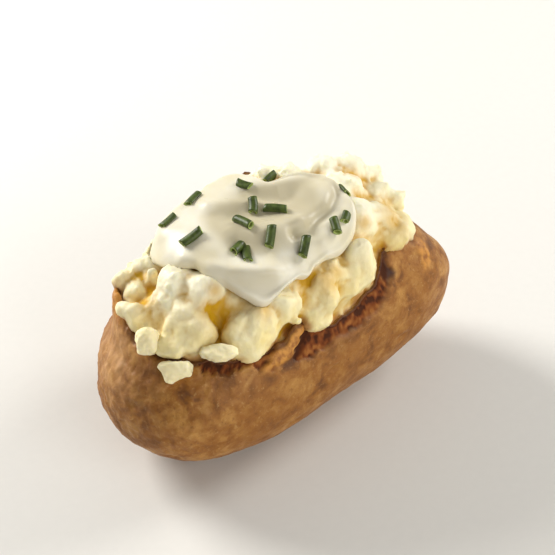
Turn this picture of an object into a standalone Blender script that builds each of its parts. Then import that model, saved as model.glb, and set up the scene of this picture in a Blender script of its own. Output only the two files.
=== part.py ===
"""A split baked potato: its browned jacket, the fluffed flesh heaped over the rim, and a spoon of sour cream.

The potato lies along X with its fatter end at -X, and the lower, torn side of the jacket faces -Y.
A place on the jacket is given by its bearing (degrees round the potato, 0 at +X, 90 at +Y) and its
level (degrees above the widest line, seen from the middle of the body).
"""

import math
import random

import bmesh
import bpy
from mathutils import Vector, noise

MM = 0.001

# The whole potato, measured from the middle of its body.
HALF_LENGTH = 61.0 * MM
HALF_WIDTH = 33.0 * MM
HALF_DEPTH = 27.5 * MM
SQUARENESS = 2.3                 # 2 is an ellipsoid, more is boxier
SHOULDER_SQUARENESS = 0.3        # how much boxier the upper +X end is
WIDTH_TAPER = 0.06               # how much narrower the +X end is
DEPTH_TAPER = 0.09               # how much shallower the +X end is
KIDNEY_BEND = -9.5 * MM          # both ends bow towards -Y
LEAN = -7.0 * MM                 # the +Y side is pushed towards -X
FLAT_SPOT_RISE = 0.9 * MM        # the underside is flattened this far up

# The jacket and its cut rim.
JACKET_WALL = 2.4 * MM
JACKET_SEGMENTS = 54
JACKET_RINGS = 20
RINGS_KEPT_BELOW = 60.0          # of the sphere that the jacket is made from, in degrees of level
RIM_LEVEL = 34.0
RIM_RISE_AT_ENDS = 5.5
WALL_OPENS_ABOVE = 30.0          # the squeezed wall leaves the closed form above this level
WALL_SPREAD = 9.5 * MM
WALL_LIFT = 13.0 * MM
WALL_OPENING_REACH = 25.0

# Rises and dips of the rim: (bearing, degrees of level, half-width in degrees).
RIM_FEATURES = (
    (68.0, 20.0, 34.0),          # the far wall, pushed up and out
    (312.0, 14.0, 22.0),         # the broad tab at the +X end
    (151.0, 5.0, 11.0),          # the curled tab at the -X end
    (252.0, 8.0, 7.0),           # the small golden flap
    (268.0, -2.0, 9.0),
)

# Where the outer skin has torn off below the rim: a band that is widest in its middle.
TEAR_DEPTH = 1.1 * MM
TEAR_BEARING = 254.0
TEAR_HALF_WIDTH = 48.0
TEAR_LEVEL = 26.5
TEAR_RISE_AT_ENDS = 11.0
TEAR_RAGGEDNESS = 2.0
TEAR_STEP = 4.0                  # degrees of level over which the surface steps in
TEAR_FADE = 10.0                 # degrees of bearing over which each end runs out

# The heap of flesh, as an ellipsoid that its lumps stand out of.
HEAP_CENTRE = Vector((2.0, 3.0, 15.5)) * MM
HEAP_HALF = Vector((52.0, 27.5, 30.5)) * MM
HEAP_CORE = 0.9                  # the core that the lumps stand on, as a share of the heap
FILLING_CROWN = 12.0 * MM        # how far the flesh inside the jacket rises over the heap's centre

# The largest lumps: place in mm from the middle of the body, and half sizes in mm.
LARGE_LUMPS = (
    ((-37.5, -8, 25), (8.6, 8.2, 8.8)),      # the near shoulder at the -X end
    ((-30, -7, 32.5), (6.8, 6.2, 6.4)),
    ((-37, 2, 31.5), (6.0, 6.4, 6.4)),
    ((-23, -15.5, 23.5), (9.5, 7.6, 9.2)),   # the broad near lump
    ((-13, -18, 27), (7.0, 5.6, 6.4)),
    ((-41, 13, 25.5), (5.8, 6.2, 7.2)),
    ((-34, 18, 27), (6.5, 6.0, 6.5)),        # the far shoulder at the -X end
    ((-41, 18.5, 27), (4.6, 4.6, 4.4)),
    ((-45.5, 10, 23), (3.8, 4.0, 4.4)),
    ((-42.5, 3.5, 26), (4.8, 5.6, 7.5)),
    ((-43.5, -3, 22.5), (4.6, 4.6, 5.2)),
    ((-47.8, 5, 27), (4.0, 4.2, 5.2)),       # leans on the curled tab
    ((-49.3, 9.6, 28.5), (2.8, 2.8, 3.4)),
    ((-46.2, -8.8, 24), (4.6, 4.6, 4.2)),
    ((0.5, -19.5, 23.5), (8.0, 6.6, 8.0)),   # the lowest lobe of the near side
    ((6.5, -18.5, 29), (5.0, 4.4, 5.4)),
    ((16.5, -17, 27), (7.0, 5.8, 9.6)),
    ((25.5, -8.5, 33), (8.6, 7.6, 7.8)),
    ((36, -9.5, 27.5), (7.6, 7.4, 8.4)),
    ((37, -15.5, 25.5), (6.0, 5.5, 5.5)),    # hangs over the broad tab
    ((42.5, -12.5, 24.5), (5.2, 5.2, 5.2)),
    ((42, -1, 30), (6.0, 5.8, 6.6)),
    ((30, 3, 36), (8.0, 7.0, 6.4)),
    ((30.5, 12, 36), (7.2, 6.2, 6.6)),
    ((38.5, 8.5, 34), (6.6, 6.0, 6.8)),
    ((45, 6, 32), (4.8, 4.4, 5.6)),
    ((47.3, -5.3, 30), (3.8, 3.8, 4.2)),
    ((19, 14, 38), (6.5, 6.0, 5.5)),
    ((8, 18, 35), (6.5, 6.0, 5.5)),          # behind the cream
    ((13, 18.5, 37.5), (5.8, 4.6, 5.6)),
    ((3.5, 21.5, 37), (5.0, 4.2, 5.4)),
    ((22, 20, 31), (6.0, 5.0, 5.5)),
    ((-14, 22, 31), (7.0, 5.0, 5.0)),
    ((-27, 21, 29), (6.0, 5.0, 5.5)),
)
LUMP_ROUGHNESS = 0.12            # of the half sizes
SMALL_LUMPS = 120
SMALL_LUMP_RADII = (2.6 * MM, 4.6 * MM)
SMALL_LUMP_SINK = (0.91, 0.96)   # how far out the small lumps sit, as a share of the heap
HEAP_COVERED = 0.92              # share of the heap's height that small lumps are spread over
FLESH_VOXEL = 1.9 * MM
FLESH_KEPT_SHARE = 0.112         # of the faces of the run-together surface

# The sour cream, draped over the top of the heap.
CREAM_CENTRE = Vector((-7.0, 2.0, 0.0)) * MM
CREAM_RADIUS = 23.0 * MM
CREAM_ABOVE = 5.2 * MM
CREAM_BELOW = 4.2 * MM
CREAM_SEGMENTS = 44
CREAM_RINGS = 16
CREAM_HOLLOW = 3.4 * MM
CREAM_HOLLOW_REACH = 13.0 * MM
CREAM_FOLD = 1.3 * MM
CREAM_FOLD_WAVES = 4.6           # radians of the fold's wave from the middle to the edge
CREAM_FOLD_START = 40.0          # degrees
CREAM_ROLL = 4.8 * MM            # the thick roll along the far edge
CREAM_ROLL_BEARING = 110.0
CREAM_ROLL_HALF_WIDTH = 50.0

# Lobes and notches of the cream's outline: (bearing, reach in mm, half-width in degrees).
CREAM_LOBES = (
    (-12.0, 9.5, 42.0),
    (28.0, -11.0, 18.0),         # the notch in the far edge
    (66.0, 2.5, 22.0),
    (140.0, 7.5, 38.0),
    (232.0, 1.4, 14.0),          # the tip that hangs over the near side
    (264.0, -3.2, 18.0),
    (187.0, -1.8, 10.0),
    (284.0, -2.0, 9.0),
    (330.0, 1.2, 12.0),
)

# Loose pieces of flesh that hang over the rim: (place in mm, half sizes in mm, turn in degrees).
CHUNK_SQUARENESS = 3.0
CHUNK_ROUGHNESS = 0.12
LOOSE_CHUNKS = {
    "hanging_chunk": ((-48.9, -14.0, 20.2), (4.8, 3.0, 3.4), -41.0),
    "left_chunk": ((-51.0, -3.8, 25.7), (3.6, 3.1, 4.4), -41.0),
    "near_chunk": ((-37.4, -19.4, 23.9), (5.0, 2.7, 2.6), -41.0),
}

GAP = 0.3 * MM
CLEARANCE_ABOVE_RIM = 0.7        # degrees of level that the jacket's clearance runs past its rim


def smooth_step(value):
    """Ease from 0 to 1 as value goes from 0 to 1."""
    value = min(1.0, max(0.0, value))
    return value * value * (3.0 - 2.0 * value)


def bump(bearing, centre, half_width):
    """A rounded rise of height 1 at a bearing, fading out around it."""
    apart = (bearing - centre + 180.0) % 360.0 - 180.0
    return math.exp(-((apart / half_width) ** 2))


def rim_level(bearing):
    """The level at which the jacket ends."""
    level = RIM_LEVEL + RIM_RISE_AT_ENDS * math.cos(math.radians(bearing)) ** 2
    return level + sum(rise * bump(bearing, centre, width) for centre, rise, width in RIM_FEATURES)


def opening(bearing):
    """How far the wall has been squeezed open: fully at the far side, little at the near side."""
    return 0.25 + 0.75 * bump(bearing, 80.0, 60.0) ** 0.5 + 0.7 * bump(bearing, 148.0, 18.0)


def body_point(bearing, level, inset=0.0):
    """A point on the potato's skin, or inset below it."""
    turn = math.radians(bearing)
    rise = math.radians(level)
    direction = (math.cos(rise) * math.cos(turn), math.cos(rise) * math.sin(turn), math.sin(rise))
    shoulder = max(0.0, direction[0]) * smooth_step(level / WALL_OPENS_ABOVE)
    power = SQUARENESS + SHOULDER_SQUARENESS * shoulder
    reach = sum(abs(part) ** power for part in direction) ** (-1.0 / power)
    sx, sy, sz = (part * reach for part in direction)
    point = Vector((
        (HALF_LENGTH - inset) * sx + LEAN * sy,
        (HALF_WIDTH - inset) * sy * (1.0 - WIDTH_TAPER * sx) + KIDNEY_BEND * (sx * sx - 0.33),
        (HALF_DEPTH - inset) * sz * (1.0 - DEPTH_TAPER * sx),
    ))
    spread = max(0.0, (level - WALL_OPENS_ABOVE) / WALL_OPENING_REACH)
    if spread > 0.0:
        outward = Vector((sx / HALF_LENGTH, sy / HALF_WIDTH, 0.0)).normalized()
        point += outward * WALL_SPREAD * opening(bearing) * spread ** 1.2
        point.z += WALL_LIFT * opening(bearing) * spread ** 1.4
    return point


def tear_inset(bearing, level):
    """How far the surface steps in where the outer skin has torn away."""
    apart = abs((bearing - TEAR_BEARING + 180.0) % 360.0 - 180.0)
    across = smooth_step((TEAR_HALF_WIDTH - apart) / TEAR_FADE)
    edge = TEAR_LEVEL + TEAR_RISE_AT_ENDS * (apart / TEAR_HALF_WIDTH) ** 2
    edge += TEAR_RAGGEDNESS * noise.noise(Vector((bearing / TEAR_FADE, 0.0, 3.0)))
    return TEAR_DEPTH * across * smooth_step((level - edge) / TEAR_STEP)


def heap_point(x, y, lift=0.0):
    """A point on the smooth heap straight above x and y, pushed out along its normal by lift."""
    flat = Vector(((x - HEAP_CENTRE.x) / HEAP_HALF.x, (y - HEAP_CENTRE.y) / HEAP_HALF.y, 0.0))
    if flat.length > 0.97:
        flat = flat.normalized() * 0.97
    flat.z = math.sqrt(1.0 - flat.length_squared)
    point = HEAP_CENTRE + Vector(a * b for a, b in zip(flat, HEAP_HALF))
    normal = Vector(a / b for a, b in zip(flat, HEAP_HALF)).normalized()
    return point + normal * lift


def new_collection(name):
    collection = bpy.data.collections.new(name)
    bpy.context.scene.collection.children.link(collection)
    return collection


def new_material(name, colour, roughness):
    """A Principled material of one colour, given as linear red, green and blue."""
    material = bpy.data.materials.new(name)
    material.use_nodes = True
    shader = material.node_tree.nodes["Principled BSDF"]
    shader.inputs["Base Color"].default_value = (*colour, 1.0)
    shader.inputs["Roughness"].default_value = roughness
    shader.inputs["Metallic"].default_value = 0.0
    return material


def new_object(name, bm, collection, material=None):
    """An object in the collection, made from a bmesh that is then freed."""
    mesh = bpy.data.meshes.new(name)
    bm.to_mesh(mesh)
    bm.free()
    mesh.shade_smooth()
    thing = bpy.data.objects.new(name, mesh)
    collection.objects.link(thing)
    if material is not None:
        mesh.materials.append(material)
    return thing


def as_cutter(thing):
    thing.hide_render = True
    thing.display_type = "WIRE"
    return thing


def cut_with(thing, cutter):
    cut = thing.modifiers.new("cut_" + cutter.name, "BOOLEAN")
    cut.operation = "DIFFERENCE"
    cut.solver = "EXACT"
    cut.object = cutter


def jacket_surface(inset, above_rim):
    """The jacket's open surface: a sphere whose top is left off, its levels running up to the rim."""
    bm = bmesh.new()
    bmesh.ops.create_uvsphere(bm, u_segments=JACKET_SEGMENTS, v_segments=JACKET_RINGS, radius=1.0)
    top = [vert for vert in bm.verts if vert.co.z > math.sin(math.radians(RINGS_KEPT_BELOW))]
    bmesh.ops.delete(bm, geom=top, context="VERTS")
    highest = max(math.asin(vert.co.z) for vert in bm.verts)
    floor = -HALF_DEPTH + FLAT_SPOT_RISE
    for vert in bm.verts:
        bearing = math.degrees(math.atan2(vert.co.y, vert.co.x)) % 360.0
        share = (math.asin(max(-1.0, vert.co.z)) + math.pi / 2.0) / (highest + math.pi / 2.0)
        level = -90.0 + share * (rim_level(bearing) + above_rim + 90.0)
        point = body_point(bearing, level, inset + tear_inset(bearing, level))
        vert.co = (point.x, point.y, max(point.z, floor + inset))
    return bm


def add_wall(thing, thickness):
    wall = thing.modifiers.new("wall", "SOLIDIFY")
    wall.thickness = thickness
    wall.offset = -1.0


def make_jacket(collection):
    skin = new_material("browned_skin", (0.33, 0.17, 0.07), 0.6)
    jacket = new_object("potato_jacket", jacket_surface(0.0, 0.0), collection, skin)
    add_wall(jacket, JACKET_WALL)
    return jacket


def make_jacket_clearance(collection):
    """The jacket grown by the gap on every side, which is cut out of the flesh."""
    clearance = new_object("jacket_clearance", jacket_surface(-GAP, CLEARANCE_ABOVE_RIM), collection)
    add_wall(clearance, JACKET_WALL + 2.6 * GAP)
    return as_cutter(clearance)


def cream_reach(bearing):
    """The cream's radius at a bearing from its middle."""
    lobes = sum(reach * bump(bearing, centre, width) for centre, reach, width in CREAM_LOBES)
    return CREAM_RADIUS + lobes * MM


def cream_surface(grow):
    """A thick lens laid over the heap, hollow in the middle and folded towards its edge."""
    bm = bmesh.new()
    bmesh.ops.create_uvsphere(bm, u_segments=CREAM_SEGMENTS, v_segments=CREAM_RINGS, radius=1.0)
    for vert in bm.verts:
        out = math.hypot(vert.co.x, vert.co.y)
        bearing = math.degrees(math.atan2(vert.co.y, vert.co.x)) % 360.0
        radius = (CREAM_RADIUS + (cream_reach(bearing) - CREAM_RADIUS) * out ** 2 + grow) * out
        turn = math.radians(bearing)
        x = CREAM_CENTRE.x + radius * math.cos(turn)
        y = CREAM_CENTRE.y + radius * math.sin(turn)
        side = math.copysign(abs(vert.co.z) ** 0.7, vert.co.z)
        lift = side * (CREAM_BELOW + grow)
        if side > 0.0:
            hollow = CREAM_HOLLOW * math.exp(-((radius / CREAM_HOLLOW_REACH) ** 2))
            wave = CREAM_FOLD_WAVES * out + math.radians(2.0 * bearing + CREAM_FOLD_START)
            fold = CREAM_FOLD * math.sin(wave) * out
            roll = CREAM_ROLL * bump(bearing, CREAM_ROLL_BEARING, CREAM_ROLL_HALF_WIDTH) * out ** 3
            lift = side * (CREAM_ABOVE + grow - hollow + fold + roll)
        vert.co = heap_point(x, y, lift)
    return bm


def under_cream(place):
    """Whether the cream covers this place on the heap."""
    across = place.xy - CREAM_CENTRE.xy
    bearing = math.degrees(math.atan2(across.y, across.x)) % 360.0
    return across.length < cream_reach(bearing) and place.z > HEAP_CENTRE.z


def make_cream(collection):
    cream = new_material("sour_cream", (0.83, 0.80, 0.68), 0.25)
    return new_object("sour_cream", cream_surface(0.0), collection, cream)


def chunk_surface(place, half_sizes, turn, grow):
    """A small lump with blunt corners and a slightly broken surface."""
    bm = bmesh.new()
    bmesh.ops.create_icosphere(bm, subdivisions=2, radius=1.0)
    spin = math.radians(turn)
    for vert in bm.verts:
        direction = vert.co.copy()
        reach = sum(abs(part) ** CHUNK_SQUARENESS for part in direction) ** (-1.0 / CHUNK_SQUARENESS)
        reach *= 1.0 + CHUNK_ROUGHNESS * noise.noise(direction * 1.6 + Vector(place))
        x, y, z = (part * reach * (size * MM + grow) for part, size in zip(direction, half_sizes))
        vert.co = Vector(place) * MM + Vector((
            x * math.cos(spin) - y * math.sin(spin),
            x * math.sin(spin) + y * math.cos(spin),
            z,
        ))
    return bm


def add_lump(bm, centre, half_sizes):
    ball = bmesh.ops.create_icosphere(bm, subdivisions=2, radius=1.0)
    for vert in ball["verts"]:
        reach = 1.0 + LUMP_ROUGHNESS * noise.noise(vert.co * 1.3 + centre * 900.0)
        vert.co = centre + Vector(part * reach * half for part, half in zip(vert.co, half_sizes))


def small_lump_places():
    """Lumps spread evenly over the heap by the golden angle, each nudged a little."""
    shuffle = random.Random(11)
    golden = math.pi * (3.0 - math.sqrt(5.0))
    for index in range(SMALL_LUMPS):
        height = 1.0 - HEAP_COVERED * (index + 0.5) / SMALL_LUMPS
        ring = math.sqrt(1.0 - height * height)
        turn = golden * index + shuffle.uniform(-0.3, 0.3)
        radius = shuffle.uniform(*SMALL_LUMP_RADII)
        direction = Vector((ring * math.cos(turn), ring * math.sin(turn), height))
        direction *= shuffle.uniform(*SMALL_LUMP_SINK)
        place = HEAP_CENTRE + Vector(a * b for a, b in zip(direction, HEAP_HALF))
        bearing = math.degrees(turn) % 360.0
        above_rim = place.z > body_point(bearing, rim_level(bearing)).z
        if above_rim and not under_cream(place):
            yield place, radius


def flesh_body():
    """The flesh before its surfaces are run together: what fills the jacket, the heap, and the lumps."""
    bm = bmesh.new()
    filling = bmesh.ops.create_uvsphere(bm, u_segments=48, v_segments=24, radius=1.0)
    for vert in filling["verts"]:
        bearing = math.degrees(math.atan2(vert.co.y, vert.co.x)) % 360.0
        level = math.degrees(math.asin(max(-1.0, min(1.0, vert.co.z))))
        rim = rim_level(bearing)
        point = body_point(bearing, min(level, rim), 0.5 * JACKET_WALL)
        inward = max(0.0, (level - rim) / (90.0 - rim))
        point = point.lerp(HEAP_CENTRE + Vector((0.0, 0.0, FILLING_CROWN)), inward)
        vert.co = (point.x, point.y, max(point.z, -HALF_DEPTH + FLAT_SPOT_RISE + 0.5 * JACKET_WALL))
    heap = bmesh.ops.create_uvsphere(bm, u_segments=48, v_segments=24, radius=1.0)
    for vert in heap["verts"]:
        vert.co = HEAP_CENTRE + Vector(a * b for a, b in zip(vert.co, HEAP_HALF)) * HEAP_CORE
    for place, half_sizes in LARGE_LUMPS:
        add_lump(bm, Vector(place) * MM, Vector(half_sizes) * MM)
    for centre, radius in small_lump_places():
        add_lump(bm, centre, (radius, radius, radius))
    return bm


def make_flesh(collection, cutters):
    """The fluffed flesh, one solid out to its uneven outline, cut clear of what touches it."""
    flesh = new_object("fluffed_flesh", flesh_body(), collection,
                       new_material("potato_flesh", (0.80, 0.68, 0.36), 0.5))
    run_together = flesh.modifiers.new("run_together", "REMESH")
    run_together.mode = "VOXEL"
    run_together.voxel_size = FLESH_VOXEL
    soften = flesh.modifiers.new("soften", "SMOOTH")
    soften.factor = 0.5
    soften.iterations = 1
    thin_out = flesh.modifiers.new("thin_out", "DECIMATE")
    thin_out.ratio = FLESH_KEPT_SHARE
    for cutter in cutters:
        cut_with(flesh, cutter)
    return flesh


def stand_on_origin(things, everything):
    """Move everything so that the middle of the underside of the things' box is at the origin."""
    bpy.context.view_layer.update()
    depsgraph = bpy.context.evaluated_depsgraph_get()
    corners = []
    for thing in things:
        evaluated = thing.evaluated_get(depsgraph)
        corners += [vert.co.copy() for vert in evaluated.to_mesh().vertices]
        evaluated.to_mesh_clear()
    low = Vector(min(corner[axis] for corner in corners) for axis in range(3))
    high = Vector(max(corner[axis] for corner in corners) for axis in range(3))
    shift = Vector((-(low.x + high.x) / 2.0, -(low.y + high.y) / 2.0, -low.z))
    for thing in everything:
        thing.location = shift


for old in list(bpy.data.objects):
    bpy.data.objects.remove(old)

potato = new_collection("baked_potato")
cutting = new_collection("cutters")

jacket = make_jacket(potato)
cream = make_cream(potato)
chunk_material = new_material("loose_flesh", (0.84, 0.76, 0.50), 0.5)
jacket_clearance = make_jacket_clearance(cutting)
chunks = []
cutters = []
for chunk_name, (chunk_place, chunk_half, chunk_turn) in LOOSE_CHUNKS.items():
    surface = chunk_surface(chunk_place, chunk_half, chunk_turn, 0.0)
    chunk = new_object(chunk_name, surface, potato, chunk_material)
    cut_with(chunk, jacket_clearance)
    chunks.append(chunk)
    grown = chunk_surface(chunk_place, chunk_half, chunk_turn, GAP)
    cutters.append(as_cutter(new_object(chunk_name + "_clearance", grown, cutting)))
cutters.append(as_cutter(new_object("cream_clearance", cream_surface(GAP), cutting)))
cutters.append(jacket_clearance)
flesh = make_flesh(potato, cutters)
stand_on_origin([jacket, flesh, cream, *chunks], [jacket, flesh, cream, *chunks, *cutters])
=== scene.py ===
"""The looks of a split baked potato: its browned jacket, fluffed flesh, sour cream and snipped chives.

The potato lies along X with its fatter end at -X, and the low, torn side of its jacket faces -Y.
A place on the jacket is given by its bearing (degrees round the potato, 0 at +X, 90 at +Y) and its
level (degrees above the widest line, seen from the middle of the body).
"""

import math
import random

import bmesh
import bpy
import numpy as np
from mathutils import Matrix, Vector, noise
from mathutils.bvhtree import BVHTree


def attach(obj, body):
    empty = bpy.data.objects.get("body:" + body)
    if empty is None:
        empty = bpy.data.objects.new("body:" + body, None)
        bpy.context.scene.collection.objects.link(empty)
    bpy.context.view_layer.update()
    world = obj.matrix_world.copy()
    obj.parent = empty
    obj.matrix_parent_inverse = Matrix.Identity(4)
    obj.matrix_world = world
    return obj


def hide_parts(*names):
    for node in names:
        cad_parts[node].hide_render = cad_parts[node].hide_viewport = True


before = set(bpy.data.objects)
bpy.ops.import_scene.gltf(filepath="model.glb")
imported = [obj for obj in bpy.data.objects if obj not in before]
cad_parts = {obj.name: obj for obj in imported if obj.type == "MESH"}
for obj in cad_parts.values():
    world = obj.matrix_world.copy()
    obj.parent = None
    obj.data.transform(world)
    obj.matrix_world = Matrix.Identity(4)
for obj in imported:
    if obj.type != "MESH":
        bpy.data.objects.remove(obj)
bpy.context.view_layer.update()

# ---- The jacket ----------------------------------------------------------------------------------
# The skin of a whole potato, oiled and baked until it is brown, dry and a little wrinkled. It was cut along
# the top and squeezed open, which pulled the outer layer of the skin off in a band below the near rim.
# It is one shell: the rings of a sphere run up its outside, over the rim and down its inside.

MM = 0.001
BODY_MIDDLE = Vector((0.0, -2.87, 26.6)) * MM  # the middle of the potato's body in the part
HALF_LENGTH = 61.0 * MM
HALF_WIDTH = 33.0 * MM
HALF_DEPTH = 27.5 * MM
SQUARENESS = 2.3
SHOULDER_SQUARENESS = 0.3
WIDTH_TAPER = 0.06
DEPTH_TAPER = 0.09
KIDNEY_BEND = -9.5 * MM
KIDNEY_MIDDLE = 0.33  # where the bend neither adds nor takes, as x squared
LEAN = -7.0 * MM

JACKET_WALL = 2.2 * MM
JACKET_SEGMENTS = 480
OUTER_RINGS = 118
LIP_RINGS = 7
INNER_RINGS = 20
RIM_LEVEL = 34.0
RIM_RISE_AT_ENDS = 5.5
RIM_RAGGEDNESS = 1.1  # degrees of level
LIP_ROUNDING = 2.0  # degrees of level
WALL_OPENS_ABOVE = 30.0
WALL_SPREAD = 9.5 * MM
WALL_LIFT = 13.0 * MM
WALL_OPENING_REACH = 25.0

# Rises and dips of the rim: (bearing, degrees of level, half-width in degrees).
RIM_FEATURES = (
    (68.0, 20.0, 34.0),  # the far wall, pushed up and out
    (312.0, 14.0, 22.0),  # the broad tab at the +X end
    (151.0, 5.0, 11.0),  # the curled tab at the -X end
    (252.0, 8.0, 7.0),  # the small golden flap
    (268.0, -2.0, 9.0),
)

# The band where the outer skin has torn off.
TEAR_DEPTH = 1.1 * MM
TEAR_BEARING = 256.0
TEAR_HALF_WIDTH = 54.0
TEAR_LEVEL = 25.8
TEAR_RISE_AT_ENDS = 9.0
TEAR_JAGS = 2.4  # degrees of level
DEEPEST_RELIEF = 1.5 * MM
TORN_LIP = 0.45 * MM  # how far the torn edge has curled out
TEAR_FADE = 1.0  # degrees of level over which the outer skin ends
TEAR_FRAYING = 3.0  # degrees of level more on the +X side, where it frays

# Rises and dips of the band's lower edge: (bearing, degrees of level, half-width in degrees).
TEAR_NOTCHES = (
    (307.0, 15.0, 12.0), (228.0, 3.5, 8.0), (211.0, 4.5, 12.0), (264.0, -3.6, 11.0), (280.0, -4.6, 9.0),
)

# Strips of the near rim, from the top to the foot, each (bearing, level), and the half-width in degrees.
GOLDEN_FLAP = ((250.5, 46.0), (240.0, 25.0), 7.5)
GOLDEN_SLIT = ((332.0, 49.0), (308.0, 26.0), 4.8)
# The crack below the flap is dark baked flesh with painted shadow in it; the strip beside the tab is
# painted shadow where the flesh shades it.
CRACK_BELOW_FLAP = ((257.5, 42.0), (243.5, 22.5), 3.6)
TAB_EDGE_SHADOW = ((300.0, 52.0), (295.0, 35.0), 3.4)

# Bumps and wrinkles of the skin: height in mm, what the wrinkled -X end adds to it, and mm apart.
SKIN_BUMPS = ((0.50, 0.0, 17.0), (0.28, 0.0, 6.5), (0.11, 0.24, 2.6), (0.05, 0.20, 1.3))

# Eyes of the potato: shallow pits under a low brow, at (bearing, level).
EYES = (
    (201.0, -18.0), (223.0, 2.0), (247.0, -22.0), (262.0, 6.0), (291.0, -6.0), (318.0, -20.0), (345.0, 8.0),
    (20.0, -12.0), (58.0, 9.0), (92.0, -16.0), (121.0, 12.0), (160.0, -8.0), (181.0, 14.0),
)
EYE_RADIUS = 2.4 * MM
EYE_DEPTH = 0.75 * MM


def smooth_step(value):
    """Ease from 0 to 1 as value goes from 0 to 1."""
    value = min(1.0, max(0.0, value))
    return value * value * (3.0 - 2.0 * value)


def turn_between(bearing, centre):
    """Degrees from centre to bearing, -180 to 180."""
    return (bearing - centre + 180.0) % 360.0 - 180.0


def bump(bearing, centre, half_width):
    """A rounded rise of height 1 at a bearing, fading out around it."""
    return math.exp(-((turn_between(bearing, centre) / half_width) ** 2))


def rises(bearing, features):
    """What rises and dips, each (bearing, rise, half-width in degrees), add up to at a bearing."""
    return sum(rise * bump(bearing, centre, half_width) for centre, rise, half_width in features)


def wander(value, seed):
    """Smooth unevenness between about -1 and 1 along one value."""
    return 1.6 * noise.noise(Vector((value, seed, 0.5)))


def rim_level(bearing):
    """The level at which the jacket ends, before its ragged edge."""
    level = RIM_LEVEL + RIM_RISE_AT_ENDS * math.cos(math.radians(bearing)) ** 2
    return level + rises(bearing, RIM_FEATURES)


def opening(bearing):
    """How far the wall has been squeezed open: fully at the far side, little at the near side."""
    return 0.25 + 0.75 * bump(bearing, 80.0, 60.0) ** 0.5 + 0.7 * bump(bearing, 148.0, 18.0)


def body_point(bearing, level, inset=0.0):
    """A point on the potato's skin, or inset below it, in the part."""
    turn = math.radians(bearing)
    rise = math.radians(level)
    direction = (math.cos(rise) * math.cos(turn), math.cos(rise) * math.sin(turn), math.sin(rise))
    shoulder = max(0.0, direction[0]) * smooth_step(level / WALL_OPENS_ABOVE)
    power = SQUARENESS + SHOULDER_SQUARENESS * shoulder
    reach = sum(abs(part) ** power for part in direction) ** (-1.0 / power)
    sx, sy, sz = (part * reach for part in direction)
    point = Vector((
        (HALF_LENGTH - inset) * sx + LEAN * sy,
        (HALF_WIDTH - inset) * sy * (1.0 - WIDTH_TAPER * sx) + KIDNEY_BEND * (sx * sx - KIDNEY_MIDDLE),
        (HALF_DEPTH - inset) * sz * (1.0 - DEPTH_TAPER * sx),
    ))
    spread = max(0.0, (level - WALL_OPENS_ABOVE) / WALL_OPENING_REACH)
    if spread > 0.0:
        outward = Vector((sx / HALF_LENGTH, sy / HALF_WIDTH, 0.0)).normalized()
        point += outward * WALL_SPREAD * opening(bearing) * spread ** 1.2
        point.z += WALL_LIFT * opening(bearing) * spread ** 1.4
    return point + BODY_MIDDLE


def tear_edge(bearing):
    """The level of the torn band's lower edge."""
    apart = abs(turn_between(bearing, TEAR_BEARING)) / TEAR_HALF_WIDTH
    jags = TEAR_JAGS * (0.7 * wander(bearing / 7.0, 3.0) + 0.5 * wander(bearing / 2.2, 8.0))
    return TEAR_LEVEL + TEAR_RISE_AT_ENDS * apart ** 2 + rises(bearing, TEAR_NOTCHES) + jags


def along_strip(bearing, level, top, foot, half_width):
    """1 inside a narrow strip that runs from top to foot, each (bearing, level), and 0 beside it."""
    run = (top[1] - level) / (top[1] - foot[1])
    middle = top[0] + (foot[0] - top[0]) * run
    ends = smooth_step(run * 6.0 + 0.6) * smooth_step((1.0 - run) * 4.0)
    width = half_width * (0.35 + 0.65 * math.sin(math.pi * min(1.0, max(0.0, 0.15 + 0.8 * (1.0 - run)))))
    width *= 1.0 + 0.35 * wander(level / 2.5, 5.0)
    return ends * smooth_step(1.6 * (1.3 - abs(bearing - middle) / width))


def jacket_rings():
    """For each ring: its share of the way from the bottom to the rim, degrees past the rim, and inset."""
    for ring in range(1, OUTER_RINGS + 1):
        share = ring / OUTER_RINGS
        yield 0.35 * share + 0.65 * share ** 0.72, 0.0, 0.0
    for ring in range(1, LIP_RINGS + 1):
        angle = math.pi * ring / (LIP_RINGS + 1)
        yield 1.0, LIP_ROUNDING * math.sin(angle), JACKET_WALL * 0.5 * (1.0 - math.cos(angle))
    for ring in range(INNER_RINGS):
        yield 1.0 - (ring / INNER_RINGS) ** 1.3, 0.0, JACKET_WALL


def shell_faces(ring_count, segments):
    """Faces over rings of points, with a single point before the first ring and after the last."""
    last = 1 + (ring_count - 1) * segments
    faces = []
    for step in range(segments):
        after = (step + 1) % segments
        faces.append((0, 1 + after, 1 + step))
        for low in range(1, last, segments):
            high = low + segments
            faces.append((low + step, low + after, high + after, high + step))
        faces.append((last + step, last + after, last + segments))
    return faces


def mesh_piece(name, vertices, faces, material):
    """A smooth-shaded mesh object made from its vertices and faces."""
    mesh = bpy.data.meshes.new(name)
    mesh.from_pydata(vertices, [], faces)
    mesh.materials.append(material)
    mesh.shade_smooth()
    piece = bpy.data.objects.new(name, mesh)
    bpy.context.scene.collection.objects.link(piece)
    return piece


def mark(mesh, name, values):
    """Keep one number for each vertex, for the material to read."""
    attribute = mesh.attributes.new(name, "FLOAT", "POINT")
    attribute.data.foreach_set("value", np.asarray(values, dtype=np.float32))


def positions(mesh):
    """The mesh's vertices as rows of x, y and z."""
    values = np.empty(len(mesh.vertices) * 3, dtype=np.float32)
    mesh.vertices.foreach_get("co", values)
    return values.reshape(-1, 3)


def normals_of(mesh):
    """The mesh's vertex normals as rows of x, y and z."""
    values = np.empty(len(mesh.vertices) * 3, dtype=np.float32)
    mesh.vertex_normals.foreach_get("vector", values)
    return values.reshape(-1, 3)


def push_out(mesh, distances):
    """Move each vertex along its normal."""
    moved = positions(mesh) + normals_of(mesh) * np.asarray(distances, dtype=np.float32)[:, None]
    mesh.vertices.foreach_set("co", moved.ravel())
    mesh.update()


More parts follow.
